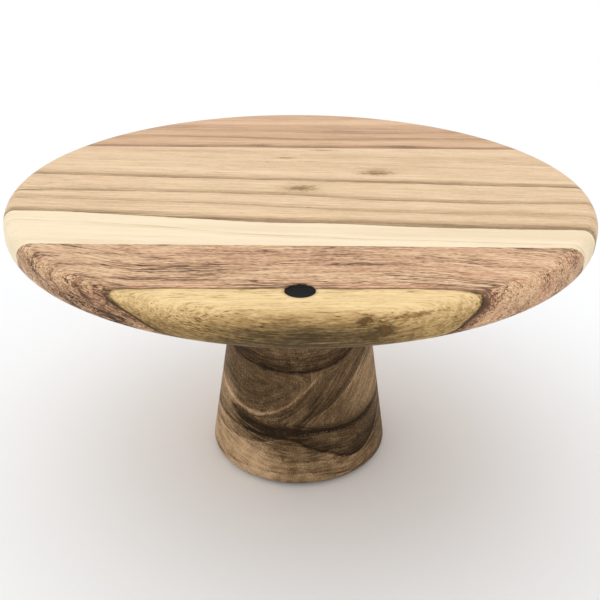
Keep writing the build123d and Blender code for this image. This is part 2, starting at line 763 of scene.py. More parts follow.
@dataclass(frozen=True)
class PlatedSteel:
    """Bright zinc on steel, with fine tool marks."""

    name: str
    tint: Colour = linear(190, 190, 184)
    dulled: Colour = linear(150, 148, 138)
    bloom: Noise = Noise((2.5, 2.5, 2.5), 3.0)
    marks: Noise = Noise((0.8, 0.8, 0.06), 1.0, seed=9.0)
    dulling: float = 0.5
    roughness: float = 0.34
    bloom_roughness: float = 0.05
    mark_roughness: float = 0.04
    relief: float = 0.01

    def build(self) -> bpy.types.Material:
        """Builds the material.

        Returns:
            The finished material.
        """
        graph = SurfaceGraph(self.name)
        at = graph.place()
        bloom = graph.noise(at, self.bloom)
        marks = graph.noise(at, self.marks)
        colour = graph.blend(self.tint, self.dulled, bloom.smooth(-0.2, 1.0) * self.dulling)
        rough = self.roughness + bloom * self.bloom_roughness + marks * self.mark_roughness
        settings = {"Base Color": colour, "Metallic": 1.0, "Roughness": rough}
        return graph.finish(settings, marks, self.relief)


@dataclass(frozen=True)
class PressedFelt:
    """Brown pressed felt, matt and hairy."""

    name: str
    tint: Colour = linear(92, 74, 60)
    shadow: Colour = linear(52, 41, 33)
    bend: Noise = Noise((1.2, 1.2, 1.2), 1.0)
    hairs: Noise = Noise((1.4, 0.10, 0.10), seed=2.0)
    crossed: Noise = Noise((0.10, 1.2, 0.10), seed=6.0)
    hair_bend: Point = (0.5, -0.5)
    crossed_bend: Point = (-0.4, 0.6)
    roughness: float = 0.95
    weave_roughness: float = 0.03
    specular: float = 0.15
    sheen: float = 0.3
    sheen_roughness: float = 0.6
    relief: float = 0.12

    def build(self) -> bpy.types.Material:
        """Builds the material.

        Returns:
            The finished material.
        """
        graph = SurfaceGraph(self.name)
        x, y, z = graph.place()
        bend = graph.noise((x, y, z), self.bend)
        hairs, crossed = (
            graph.noise((x + bend * along, y + bend * across, z), noise)
            for noise, (along, across) in ((self.hairs, self.hair_bend), (self.crossed, self.crossed_bend)))
        weave = (hairs + crossed) * 0.5
        settings = {
            "Base Color": graph.blend(self.tint, self.shadow, weave.smooth(-0.4, 0.8)),
            "Roughness": self.roughness + weave * self.weave_roughness,
            "Specular IOR Level": self.specular, "Sheen Weight": self.sheen,
            "Sheen Roughness": self.sheen_roughness,
        }
        return graph.finish(settings, weave, self.relief)


@dataclass(frozen=True)
class StudioFloor:
    """Plain pale floor, very slightly uneven in tone."""

    name: str
    tint: Colour = (0.91, 0.925, 0.94)
    cloudy: Colour = (0.90, 0.91, 0.925)
    cloud: Noise = Noise((400.0, 400.0, 400.0))
    roughness: float = 0.9
    relief: float = 0.01

    def build(self) -> bpy.types.Material:
        """Builds the material.

        Returns:
            The finished material.
        """
        graph = SurfaceGraph(self.name)
        cloud = graph.noise(graph.place(), self.cloud)
        colour = graph.blend(self.tint, self.cloudy, cloud.smooth(-0.5, 0.5))
        return graph.finish({"Base Color": colour, "Roughness": self.roughness}, cloud, self.relief)


# ------------------------------------------------------------------ turned shapes


@dataclass(frozen=True)
class Turned:
    """A point on a turned profile.

    thread is how deep a thread's groove is there, and turn how many turns the thread has made.
    """

    radius: float
    height: float
    thread: float = 0.0
    turn: float = 0.0


def rounded(before: Point, corner: Point, after: Point, radius: float, steps: int = 10) -> list[Turned]:
    """Rounds a corner of a profile with an arc.

    Args:
        before: the profile's point ahead of the corner.
        corner: the sharp corner.
        after: the profile's point past the corner.
        radius: the arc's radius.
        steps: how many pieces the arc has.

    Returns:
        The arc's points, in order.
    """
    spot = Vector(corner)
    back = (Vector(before) - spot).normalized()
    on = (Vector(after) - spot).normalized()
    half = back.angle(on) / 2
    centre = spot + (back + on).normalized() * (radius / math.sin(half))
    start = spot + back * (radius / math.tan(half)) - centre
    end = spot + on * (radius / math.tan(half)) - centre
    sweep = start.angle(end)
    points = []
    for step in range(steps + 1):
        share = step / steps
        arm = (start * math.sin((1 - share) * sweep) + end * math.sin(share * sweep)) / math.sin(sweep)
        points.append(Turned(centre.x + arm.x, centre.y + arm.y))
    return points


def run(start: Turned, end: Turned, steps: int, pitch: float = 0.0) -> list[Turned]:
    """Divides a straight stretch of a profile, and threads it where it has a pitch.

    Args:
        start: its first point, which isn't repeated.
        end: its last point.
        steps: how many pieces it has.
        pitch: the thread's pitch, or 0 for a plain stretch.

    Returns:
        The points after the first.
    """
    points = []
    for step in range(1, steps + 1):
        share = step / steps
        height = start.height + (end.height - start.height) * share
        points.append(Turned(
            start.radius + (end.radius - start.radius) * share,
            height,
            start.thread + (end.thread - start.thread) * share,
            height / pitch if pitch else 0.0,
        ))
    return points


class TreeMaker:
    """Makes Geometry Nodes trees with named inputs, and runs them once on an object."""

    def __init__(self, name: str, inputs: dict[str, str]) -> None:
        """Makes an empty tree.

        Args:
            name: the tree's name.
            inputs: the sockets' names and types.
        """
        self.tree = bpy.data.node_groups.new(name, "GeometryNodeTree")
        for label, kind in inputs.items():
            self.tree.interface.new_socket(label, in_out="INPUT", socket_type=kind)
        self.tree.interface.new_socket("Result", in_out="OUTPUT", socket_type="NodeSocketGeometry")
        self.graph = NodeGraph(self.tree)
        first = self.graph.node("NodeGroupInput")
        self.inputs = {label: first.sibling(label) for label in inputs}

    def close(self, geometry: Value) -> None:
        """Ends the tree: real geometry, with its material.

        Args:
            geometry: what the tree has made.
        """
        real = self.graph.node("GeometryNodeRealizeInstances", inputs={"Geometry": geometry})
        dressed = self.graph.node(
            "GeometryNodeSetMaterial", inputs={"Geometry": real, "Material": self.inputs["Finish"]})
        self.graph.node("NodeGroupOutput", inputs={"Result": dressed}, output=None)

    def apply(self, piece: bpy.types.Object, values: dict[str, object]) -> None:
        """Runs the tree on a piece and keeps the result as its plain mesh.

        Args:
            piece: the object, whose mesh goes in as the first input.
            values: the other inputs, by name.
        """
        modifier = piece.modifiers.new(self.tree.name, "NODES")
        modifier.node_group = self.tree
        keys = {s.name: s.identifier for s in self.tree.interface.items_tree if s.item_type == "SOCKET"}
        for label, value in values.items():
            modifier[keys[label]] = value
        bake(piece)


def bake(piece: bpy.types.Object) -> None:
    """Turns what a piece's modifiers make into its own mesh, and drops them.

    Args:
        piece: the object.
    """
    bpy.context.view_layer.update()
    whole = bpy.data.meshes.new_from_object(piece.evaluated_get(bpy.context.evaluated_depsgraph_get()))
    piece.modifiers.clear()
    whole.name = piece.name
    piece.data = whole


def tidy_faces(mesh: bpy.types.Mesh, crease: float = CREASE, doubles: float = 0.005) -> None:
    """Merges doubles, points faces outwards and shades the mesh smoothly up to a crease.

    Args:
        mesh: the closed mesh.
        crease: degrees past which an edge stays sharp.
        doubles: how near to each other two corners are one.
    """
    work = bmesh.new()
    work.from_mesh(mesh)
    bmesh.ops.remove_doubles(work, verts=work.verts, dist=doubles * MM)
    bmesh.ops.recalc_face_normals(work, faces=work.faces)
    work.to_mesh(mesh)
    work.free()
    mesh.shade_smooth()
    mesh.set_sharp_from_angle(angle=math.radians(crease))


def new_piece(name: str, mesh: bpy.types.Mesh) -> bpy.types.Object:
    """Adds an object to the scene.

    Args:
        name: the piece's name.
        mesh: its mesh.

    Returns:
        The object.
    """
    piece = bpy.data.objects.new(name, mesh)
    bpy.context.scene.collection.objects.link(piece)
    return piece


class Lathe:
    """Turns a profile about the Z axis into a closed mesh, with threads cut where it has them."""

    WELD = 0.002    # how near to each other the last and first columns and the axis's corners weld

    def __init__(self) -> None:
        """Builds the Geometry Nodes tree once."""
        self.maker = TreeMaker("lathe", {
            "Profile": "NodeSocketGeometry", "Segments": "NodeSocketInt", "Weld": "NodeSocketFloat",
            "Finish": "NodeSocketMaterial",
        })
        graph, given = self.maker.graph, self.maker.inputs
        profile, segments = given["Profile"], given["Segments"]
        rows = graph.node(
            "GeometryNodeAttributeDomainSize", {"component": "MESH"}, {"Geometry": profile}, "Point Count")
        columns = segments + 1
        grid = graph.node(
            "GeometryNodeMeshGrid", inputs={"Vertices X": rows, "Vertices Y": columns}, output="Mesh")
        index = graph.node("GeometryNodeInputIndex")
        row = ((index + 0.5) / columns).maths("FLOOR")
        column = index - row * columns
        angle = column / segments * math.tau

        def sampled(kind: str, source: Value) -> Value:
            """Reads the profile at this row.

            Args:
                kind: the type of what is read.
                source: what is read.

            Returns:
                Its value at the row.
            """
            return graph.node(
                "GeometryNodeSampleIndex", {"data_type": kind, "domain": "POINT"},
                {"Geometry": profile, "Value": source, "Index": row}, "Value")

        def stored(label: str) -> Value:
            """Reads one of the profile's own values at this row.

            Args:
                label: the value's name.

            Returns:
                The value at the row.
            """
            named = graph.node(
                "GeometryNodeInputNamedAttribute", {"data_type": "FLOAT"}, {"Name": label}, "Attribute")
            return sampled("FLOAT", named)

        spot = sampled("FLOAT_VECTOR", graph.node("GeometryNodeInputPosition"))
        radius = graph.node("ShaderNodeSeparateXYZ", inputs={0: spot})
        phase = stored("turn") - column / segments
        crest = 2.0 * phase.maths("PINGPONG", 0.5)
        cut = radius - stored("thread") * (1.0 - crest)
        place = graph.node("ShaderNodeCombineXYZ", inputs={
            0: cut * angle.maths("COSINE"), 1: cut * angle.maths("SINE"), 2: radius.sibling(2),
        })
        shaped = graph.node("GeometryNodeSetPosition", inputs={"Geometry": grid, "Position": place})
        self.maker.close(graph.node(
            "GeometryNodeMergeByDistance", inputs={"Geometry": shaped, "Distance": given["Weld"]}))

    def turn(
        self, name: str, profile: list[Turned], segments: int, finish: bpy.types.Material | None,
        crease: float = CREASE,
    ) -> bpy.types.Object:
        """Turns one piece.

        Args:
            name: the piece's name.
            profile: its points, from axis to axis or round in a ring.
            segments: how many sides the round has.
            finish: its material, or None for none yet.
            crease: degrees past which an edge stays sharp.

        Returns:
            The turned piece.
        """
        mesh = bpy.data.meshes.new(name)
        links = [(i, i + 1) for i in range(len(profile) - 1)]
        mesh.from_pydata([(p.radius * MM, 0.0, p.height * MM) for p in profile], links, [])
        for label, scale in (("thread", MM), ("turn", 1.0)):
            store = mesh.attributes.new(label, "FLOAT", "POINT")
            store.data.foreach_set("value", [getattr(p, label) * scale for p in profile])
        piece = new_piece(name, mesh)
        self.maker.apply(piece, {"Segments": segments, "Weld": self.WELD * MM, "Finish": finish})
        tidy_faces(piece.data, crease)
        return piece


# ------------------------------------------------------------------ the stand's own woods

MARK = Stain((0.0, -127.5), 6.25)

CENTRE_WOOD = WoodFinish(
    name="centre_plank_oiled",
    tones=shades(
        (0.0, 247, 219, 183), (0.25, 231, 198, 159), (0.5, 193, 162, 121), (0.75, 145, 117, 78),
        (1.0, 87, 65, 39)),
    rings=(
        RingLine(((-160, 15.5), (-96, 10.8), (-54, 8.4), (0, 5.2), (50, 2.9), (90, 0.2), (160, -3.2)),
                 line=0.32, width=0.75, shade=0.30, reach=9.0, lean=0.3),
        RingLine(((-160, -14), (-70, -14.5), (-2, -18.5), (48, -25.0), (100, -28.2), (160, -26.5)),
                 line=0.08, width=0.8, shade=0.28, lean=0.35),
        RingLine(((-160, -42.6), (-117, -43.4), (-88, -47.0), (-61, -50.2), (-22, -55.0), (23, -56.6),
                  (60, -60.2), (98, -61.0), (160, -63.5)),
                 line=0.20, shade=0.42, reach=10.0, lean=0.4),
        RingLine(((-160, -54), (-70, -60.5), (-42, -66.5), (3, -72.5), (60, -76.5), (160, -81)),
                 line=0.18, width=0.9, shade=0.10, reach=-6.0, lean=0.4),
        RingLine(((-160, -24), (-80, -28), (0, -36), (60, -42), (160, -45)),
                 line=0.06, width=1.0, shade=0.14, reach=7.0, lean=0.35),
    ),
    base=0.295,
    sapwood=shades((0.0, 249, 234, 206), (0.3, 243, 224, 191), (0.6, 220, 194, 152), (1.0, 176, 148, 112)),
    sapwood_from=2,
    streak=0.11,
    streak_width=1.6,
    streak_length=50.0,
    fibres=0.10,
    speckle=0.06,
    veins=Veins(gap=4.5, width=0.18, dark=0.10),
    pores=Pores(length=6.0, width=0.8, rarity=0.95, dark=0.25),
    knots=(
        Knot((42.0, 21.5), (10.0, 6.5), 0.22), Knot((41.0, 18.6), (9.0, 2.4), 0.40),
        Knot((0.5, -7.0), (11.0, 6.0), 0.24), Knot((-0.5, -6.8), (6.0, 2.6), 0.42),
        Knot((-8.5, 45.6), (5.5, 1.3), 0.40), Knot((13.0, 61.0), (8.5, 1.5), 0.30),
        Knot((-19.5, 38.0), (1.6, 1.0), 0.22),
    ),
    patches=(Patch((120.0, -64.0), (110.0, 16.0), 0.10),),
    blushing=0.10,
)

BACK_WOOD = WoodFinish(
    name="back_plank_oiled",
    tones=shades(
        (0.0, 236, 202, 165), (0.25, 217, 179, 139), (0.5, 188, 148, 111), (0.75, 146, 108, 76),
        (1.0, 100, 72, 51)),
    rings=(
        RingLine(((-160, 66), (0, 66), (160, 66)), line=0.13, width=1.0, reach=10.0),
        RingLine(((-160, 83), (-60, 87), (20, 83), (90, 86), (160, 84)),
                 line=0.02, width=1.4, shade=0.26, reach=9.0, edge=2.6, lean=0.5),
        RingLine(((-160, 104), (-50, 103), (40, 99), (160, 105)),
                 line=0.02, width=1.4, shade=0.22, reach=11.0, edge=3.2, lean=0.5),
        RingLine(((-160, 120), (-50, 119), (40, 121), (160, 120)),
                 line=0.02, width=1.4, shade=-0.14, reach=14.0, edge=4.0, lean=0.5),
    ),
    base=0.35,
    streak=0.14,
    streak_width=1.8,
    streak_length=50.0,
    bands=0.12,
    fibres=0.09,
    speckle=0.05,
    veins=Veins(length=60.0, width=0.20, dark=0.12),
    pores=Pores(length=8.0, width=1.0, rarity=0.95, dark=0.18),
    knots=(
        Knot((-26.0, 70.0), (8.0, 3.0), 0.24), Knot((62.0, 69.0), (9.0, 3.6), 0.22),
        Knot((-66.0, 67.5), (10.0, 1.6), 0.26), Knot((14.0, 67.0), (9.0, 2.0), 0.20),
    ),
    blush=linear(220, 168, 136),
    blushing=0.35,
)

FRONT_WOOD = WoodFinish(
    name="front_plank_oiled",
    tones=shades(
        (0.0, 244, 210, 174), (0.25, 221, 182, 144), (0.5, 176, 136, 101), (0.75, 112, 81, 57),
        (1.0, 52, 37, 27)),
    rings=(
        RingLine(((-160, -100), (-92, -119), (-76, -125), (-66, -127.2), (-52, -126.4), (0, -125.4),
                  (54, -125.2), (61, -125.9), (66, -127), (72, -128), (90, -131), (160, -142)),
                 line=0.38, width=1.0, shade=0.08, reach=5.0, lean=1.09, twist=-0.0017),
        RingLine(((-160, -125), (54, -125.2), (61, -125.9), (66, -127), (72, -128), (90, -131), (160, -142)),
                 line=0.34, width=2.0, lean=1.0, fades=(70, 58)),
        RingLine(((-160, -96), (-88, -117), (-77, -117.5), (-40, -117.6), (20, -118.5), (80, -117),
                  (160, -108)),
                 line=0.22, width=1.8, shade=0.10, reach=4.0, lean=1.2, fades=(-70, -20)),
        RingLine(((-160, -98), (-100, -105), (-40, -106), (40, -107), (160, -104)),
                 line=0.15, width=1.9, shade=0.08, reach=5.0, lean=1.2, fades=(-80, 0)),
        RingLine(((-160, -92), (0, -95), (160, -96)),
                 line=0.12, width=1.8, shade=0.06, reach=5.0, lean=1.2, fades=(-90, -30)),
    ),
    base=0.30,
    sapwood=shades(
        (0.0, 252, 227, 174), (0.35, 238, 207, 152), (0.6, 183, 147, 93), (0.8, 122, 99, 63),
        (1.0, 60, 47, 29)),
    sapwood_from=0,
    sapwood_grain=0.45,
    streak=0.12,
    streak_width=1.5,
    streak_length=32.0,
    fibres=0.27,
    speckle=0.21,
    fineness=0.6,
    veins=Veins(length=24.0, gap=1.8, width=0.22, dark=0.50),
    pores=Pores(length=8.0, width=0.55, rarity=0.42, dark=0.50),
    knots=(
        Knot((24.3, -2.8), (3.2, 1.5), 0.50, to_rim=True), Knot((31.8, -6.3), (2.6, 2.4), 0.54, to_rim=True),
        Knot((27.0, -9.4), (3.6, 1.4), 0.24, to_rim=True), Knot((44.0, -2.4), (14.0, 1.2), 0.20, to_rim=True),
    ),
    knot_tint=linear(128, 90, 46),
    patches=(
        # The first patch darkens the top of the front rim's rounding in its middle: painted shade like the
        # rim's below it, partly the wood's darker streaks.
        Patch((6.0, -160.0), (84.0, 22.5), 0.28), Patch((-20.0, -102.0), (72.0, 26.0), 0.05),
        Patch((-74.0, -130.0), (24.0, 11.0), 0.08), Patch((96.0, -104.0), (52.0, 34.0), -0.03),
    ),
    # Painted shade down the front rim, where it turns away from the light, strongest in the sapwood, whose
    # darkest tones serve it; partly it is the wood's darker olive streaks low on the rim.
    rim_shade_and_streak=0.12,
    sapwood_rim_shade_and_streak=0.39,
    blush=linear(230, 172, 138),
    blushing=0.45,
    specular=0.12,
    coat=0.01,
    stain=MARK,
)

PEDESTAL_WOOD = WoodFinish(
    name="pedestal_oiled",
    tones=shades(
        (0.0, 214, 181, 142), (0.25, 168, 138, 104), (0.5, 107, 85, 60), (0.75, 63, 48, 31),
        (1.0, 24, 16, 8)),
    rings=(
        RingLine(((-60, 46), (-38, 38.5), (-23, 34.4), (-4, 33.0), (16, 33.2), (30, 33.0), (40, 36),
                  (60, 48)),
                 line=0.34, width=2.4, shade=0.26, reach=7.0, flecks=1.6, fades=(-32, -42)),
        RingLine(((-60, 60), (-44, 48), (-34, 42.5), (-24, 41.6), (-8, 48.0), (2, 56.5), (11, 67.0),
                  (22, 84), (60, 140)),
                 line=-0.22, width=1.7, shade=-0.10, fades=(4, 16)),
        RingLine(((-60, 84), (-37, 72.5), (-14, 69.0), (12, 70.0), (22, 73.0), (30, 78.0), (60, 100)),
                 line=0.18, width=1.3, shade=0.22, reach=14.0),
        RingLine(((-60, 30), (-20, 30), (-4, 29.5), (6, 24.5), (17, 19.5), (31, 14.6), (41, 19.0),
                  (46, 30.0), (60, 52)),
                 line=0.24, width=1.5, shade=0.22, reach=12.0, fades=(33, 42)),
        RingLine(((-60, 30), (6, 23.5), (17, 18.5), (31, 13.6), (41, 18.0), (46, 29.0), (60, 51)),
                 line=-0.20, width=1.4, fades=(34, 26)),
        RingLine(((-60, 20), (0, 34), (8, 42), (16, 47), (28, 58), (40, 78), (60, 110)),
                 line=-0.10, width=1.2, shade=0.18, reach=12.0),
        RingLine(((-60, 3), (0, 9), (30, 5), (60, 3)), line=0.08, width=1.2, shade=0.12, reach=6.0),
    ),
    base=0.54,
    streak=0.15,
    streak_length=34.0,
    ring_breadth=16.0,
    turns=(Turn(follow=1, past=0, start=0.0, end=5.0), Turn(follow=2, past=2, start=-9.0, end=1.0)),
    bands=0.12,
    band_width=5.0,
    fibres=0.16,
    speckle=0.12,
    fineness=0.55,
    veins=Veins(length=60.0, gap=2.6, width=0.26, dark=0.18),
    pores=Pores(length=5.0, width=0.6, rarity=0.7, dark=0.20),
    patches=(
        Patch((-38.0, 10.0), (36.0, 26.0), -0.40), Patch((6.0, 2.0), (56.0, 24.0), -0.20),
        Patch((40.0, 54.0), (20.0, 24.0), -0.20), Patch((-44.0, 38.0), (14.0, 20.0), -0.22),
        Patch((36.0, 27.0), (15.0, 12.0), 0.11), Patch((-12.0, 56.0), (28.0, 17.0), 0.08),
    ),
    blush=linear(124, 94, 64),
    grain=Grain.TOWARDS_FRONT,
    roughness=0.58,
    specular=0.06,
    coat=0.0,
)


# ------------------------------------------------------------------ sub-assemblies


@dataclass
class Fastening:
    """The hidden joint of plate and pedestal: an insert in the plate and a hanger bolt."""

    bolt_radius: float = 4.0
    bolt_thread: float = 0.72
    bolt_pitch: float = 1.25
    wood_thread: float = 1.1
    wood_pitch: float = 3.0
    wood_taper: float = 5.0
    tip_radius: float = 1.5
    lead_in: float = 0.8
    shank: float = 2.0
    play: float = 0.05
    flange_width: float = 2.0
    flange_thickness: float = 1.5
    bore_end_gap: float = 0.5
    pilot_end_gap: float = 2.0
    insert_thread: float = 1.0
    insert_pitch: float = 2.5
    fine_run_out: float = 0.6      # a fine thread grows to its full depth over this length
    coarse_run_out: float = 1.0    # and a coarse one over this
    crease: float = 25.0
    segments: int = 48

    def __post_init__(self) -> None:
        """Reads the places of both pieces from the frame."""
        insert_low, insert_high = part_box("threaded_insert")
        bolt_low, bolt_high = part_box("hanger_bolt")
        self.seam, self.insert_top = insert_low.z / MM, insert_high.z / MM
        self.bolt_bottom, self.bolt_top = bolt_low.z / MM, bolt_high.z / MM
        self.flange_radius = insert_high.x / MM
        self.insert_radius = self.flange_radius - self.flange_width
        self.flange_top = self.seam + self.flange_thickness

    def plate_bore(self) -> list[Turned]:
        """Draws the insert's seat in the plate.

        Returns:
            The profile, from the axis down to the underside.
        """
        bottom = self.insert_top + self.bore_end_gap
        shoulder, flange = self.insert_radius, self.flange_radius
        corners = ((0, bottom), (shoulder, bottom), (shoulder, self.flange_top), (flange, self.flange_top),
                   (flange, self.seam))
        return [Turned(*corner) for corner in corners]

    def pilot_bore(self) -> list[Turned]:
        """The bolt's bore in the pedestal, from the axis up to the top face."""
        bottom = self.bolt_bottom - self.pilot_end_gap
        return [Turned(0, bottom), Turned(self.bolt_radius, bottom), Turned(self.bolt_radius, self.seam)]

    @staticmethod
    def _join(first: Turned, stretches: list[tuple[Turned, int, float]]) -> list[Turned]:
        """Joins straight stretches into a profile.

        Args:
            first: the profile's first point.
            stretches: the end of each, how many pieces it has, and its thread's pitch or 0. A
                threaded stretch has at least eight pieces to a turn.

        Returns:
            The profile.
        """
        points = [first]
        for end, steps, pitch in stretches:
            points += run(points[-1], end, steps, pitch)
        return points

    def _bolt_profile(self) -> list[Turned]:
        """Draws the hanger bolt.

        Returns:
            The profile, from the tip to the machine thread's end.
        """
        radius, fine, coarse = self.bolt_radius, self.bolt_thread, self.wood_thread
        shank_low = self.seam - self.shank
        return self._join(Turned(0, self.bolt_bottom), [
            (Turned(self.tip_radius, self.bolt_bottom), 1, 0.0),
            (Turned(radius, self.bolt_bottom + self.wood_taper, coarse), 20, self.wood_pitch),
            (Turned(radius, shank_low - self.coarse_run_out, coarse), 128, self.wood_pitch),
            (Turned(radius, shank_low), 4, self.wood_pitch),
            (Turned(radius, self.seam), 1, 0.0),
            (Turned(radius, self.seam + self.fine_run_out, fine), 4, self.bolt_pitch),
            (Turned(radius, self.bolt_top - self.lead_in, fine), 68, self.bolt_pitch),
            (Turned(radius - self.lead_in, self.bolt_top), 6, self.bolt_pitch),
            (Turned(0, self.bolt_top), 1, 0.0),
        ])

    def _insert_profile(self) -> list[Turned]:
        """Draws the insert as a ring.

        Returns:
            The profile: up the threaded bore, down the outer thread and round the flange.
        """
        bore, outer, easing = self.bolt_radius + self.play, self.insert_radius, self.fine_run_out
        fine, coarse, shoulder = self.bolt_thread, self.insert_thread, self.insert_top - self.fine_run_out
        return self._join(Turned(bore, self.seam), [
            (Turned(bore, self.seam + easing, fine), 4, self.bolt_pitch),
            (Turned(bore, shoulder, fine), 80, self.bolt_pitch),
            (Turned(bore, self.insert_top), 4, self.bolt_pitch),
            (Turned(outer - easing, self.insert_top), 2, 0.0),
            (Turned(outer, shoulder), 1, 0.0),
            (Turned(outer, shoulder - self.lead_in, coarse), 6, self.insert_pitch),
            (Turned(outer, self.flange_top + self.coarse_run_out, coarse), 40, self.insert_pitch),
            (Turned(outer, self.flange_top), 6, self.insert_pitch),
            (Turned(self.flange_radius, self.flange_top), 1, 0.0),
            (Turned(self.flange_radius, self.seam), 1, 0.0),
            (Turned(bore, self.seam), 2, 0.0),
        ])

    def build(self, lathe: Lathe) -> list[bpy.types.Object]:
        """Turns the bolt and the insert.

        Args:
            lathe: the shared lathe.

        Returns:
            The two pieces.
        """
        pieces = []
        for name, profile, steel, node, slot in (
            ("hanger_bolt_threaded", self._bolt_profile(), PlatedSteel("zinc_bolt"),
             "hanger_bolt", "bolt_metal"),
            ("insert_threaded", self._insert_profile(),
             PlatedSteel("zinc_insert", tint=linear(196, 190, 170)), "threaded_insert", "insert_metal"),
        ):
            piece = lathe.turn(name, profile, self.segments, steel.build(), self.crease)
            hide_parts(node)
            pieces.append(piece)
        return pieces


@dataclass
class Plate:
    """The round plate, turned whole and then parted into its three planks."""

    fastening: Fastening
    rim_top_rounding: float = 6.5
    rim_bottom_rounding: float = 5.0
    top_rounding_steps: int = 14
    rim_rings: int = 2
    face_rings: int = 10
    segments: int = 320
    mark: Stain = MARK
    mark_depth: float = 0.4
    mark_easing: float = 0.2
    mark_easing_steps: int = 4
    mark_segments: int = 96

    CUT_SNAP = 1e-7    # metres from a joint within which a corner counts as on it

    def __post_init__(self) -> None:
        """Reads the plate's size and its joints from the frame."""
        low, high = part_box("plank_centre")
        self.radius = high.x / MM
        self.underside, self.top = low.z / MM, high.z / MM
        self.front_joint, self.back_joint = low.y / MM, high.y / MM

    def _profile(self) -> list[Turned]:
        """Draws the plate's section.

        Returns:
            The profile, from the bore round the rim to the middle of the top.
        """
        under, top, rim = self.underside, self.top, self.radius
        points = self.fastening.plate_bore()
        lower = rounded((0, under), (rim, under), (rim, top), self.rim_bottom_rounding)
        upper = rounded(
            (rim, under), (rim, top), (0, top), self.rim_top_rounding, self.top_rounding_steps)
        points += run(points[-1], lower[0], self.face_rings)
        points += lower[1:] + run(lower[-1], upper[0], self.rim_rings) + upper[1:]
        points += run(upper[-1], Turned(0, top), self.face_rings)
        return points

    def _part(
        self, name: str, whole: bpy.types.Mesh, low: float | None, high: float | None,
    ) -> bpy.types.Object:
        """Cuts one plank out of the turned plate.

        Args:
            name: the piece's name.
            whole: the turned plate's mesh.
            low: the joint at its front, or None.
            high: the joint at its back, or None.

        Returns:
            The plank.
        """
        work = bmesh.new()
        work.from_mesh(whole)
        for joint, side in ((low, 1.0), (high, -1.0)):
            if joint is None:
                continue
            bmesh.ops.bisect_plane(
                work, geom=work.verts[:] + work.edges[:] + work.faces[:], dist=self.CUT_SNAP,
                plane_co=(0, joint * MM, 0), plane_no=(0, side, 0), clear_inner=True)
            open_edges = [e for e in work.edges if e.is_boundary]
            bmesh.ops.holes_fill(work, edges=open_edges, sides=0)
        mesh = bpy.data.meshes.new(name)
        work.to_mesh(mesh)
        work.free()
        return new_piece(name, mesh)

    def _sink_mark(self, plank: bpy.types.Object, lathe: Lathe) -> None:
        """Presses the round mark into the front plank.

        Args:
            plank: the plank, with its material.
            lathe: the shared lathe.
        """
        floor, top, radius = self.top - self.mark_depth, self.top, self.mark.radius
        arc = rounded(
            (0, floor), (radius, floor), (radius, top), self.mark_easing, self.mark_easing_steps)
        profile = [Turned(0, floor), *arc, Turned(radius, top + 1), Turned(0, top + 1)]
        iron = lathe.turn("marking_iron", profile, self.mark_segments, plank.data.materials[0])
        across, along = self.mark.at
        place = Vector((across * MM, along * MM, 0))
        for vertex in iron.data.vertices:
            vertex.co += place
        press = plank.modifiers.new("press", "BOOLEAN")
        press.operation = "DIFFERENCE"
        press.solver = "EXACT"
        press.object = iron
        bake(plank)
        bpy.data.objects.remove(iron)

    def build(self, lathe: Lathe) -> list[bpy.types.Object]:
        """Turns the plate, parts it and marks it.

        Args:
            lathe: the shared lathe.

        Returns:
            The three planks.
        """
        whole = lathe.turn("plate", self._profile(), self.segments, None)
        planks = []
        for node, low, high, wood in (
            ("plank_back", self.back_joint, None, BACK_WOOD),
            ("plank_centre", self.front_joint, self.back_joint, CENTRE_WOOD),
            ("plank_front", None, self.front_joint, FRONT_WOOD),
        ):
            plank = self._part(node + "_figured", whole.data, low, high)
            plank.data.materials.clear()
            plank.data.materials.append(wood.build(self.top))
            if wood.stain:
                self._sink_mark(plank, lathe)
            tidy_faces(plank.data)
            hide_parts(node)
            node + "_wood"
            planks.append(plank)
        bpy.data.objects.remove(whole)
        return planks


@dataclass
class Pedestal:
    """The turned cone that carries the plate."""

    fastening: Fastening
    base_easing: float = 3.0
    top_diameter: float = 60.0
    base_diameter: float = 103.0
    side_rings: int = 24
    foot_rings: int = 4
    segments: int = 192

    def __post_init__(self) -> None:
        """Reads the pedestal's height from the frame."""
        low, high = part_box("pedestal")
        self.foot, self.top = low.z / MM, high.z / MM

    def build(self, lathe: Lathe) -> list[bpy.types.Object]:
        """Turns the pedestal.

        Args:
            lathe: the shared lathe.

        Returns:
            The one piece.
        """
        top_corner = (self.top_diameter / 2, self.top)
        foot_corner = (self.base_diameter / 2, self.foot)
        easing = rounded(top_corner, foot_corner, (0, self.foot), self.base_easing)
        profile = [*self.fastening.pilot_bore(), Turned(*top_corner)]
        profile += run(profile[-1], easing[0], self.side_rings)
        profile += easing[1:] + run(easing[-1], Turned(0, self.foot), self.foot_rings)
        piece = lathe.turn("pedestal_figured", profile, self.segments, PEDESTAL_WOOD.build(self.top))
        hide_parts("pedestal")
        return [piece]


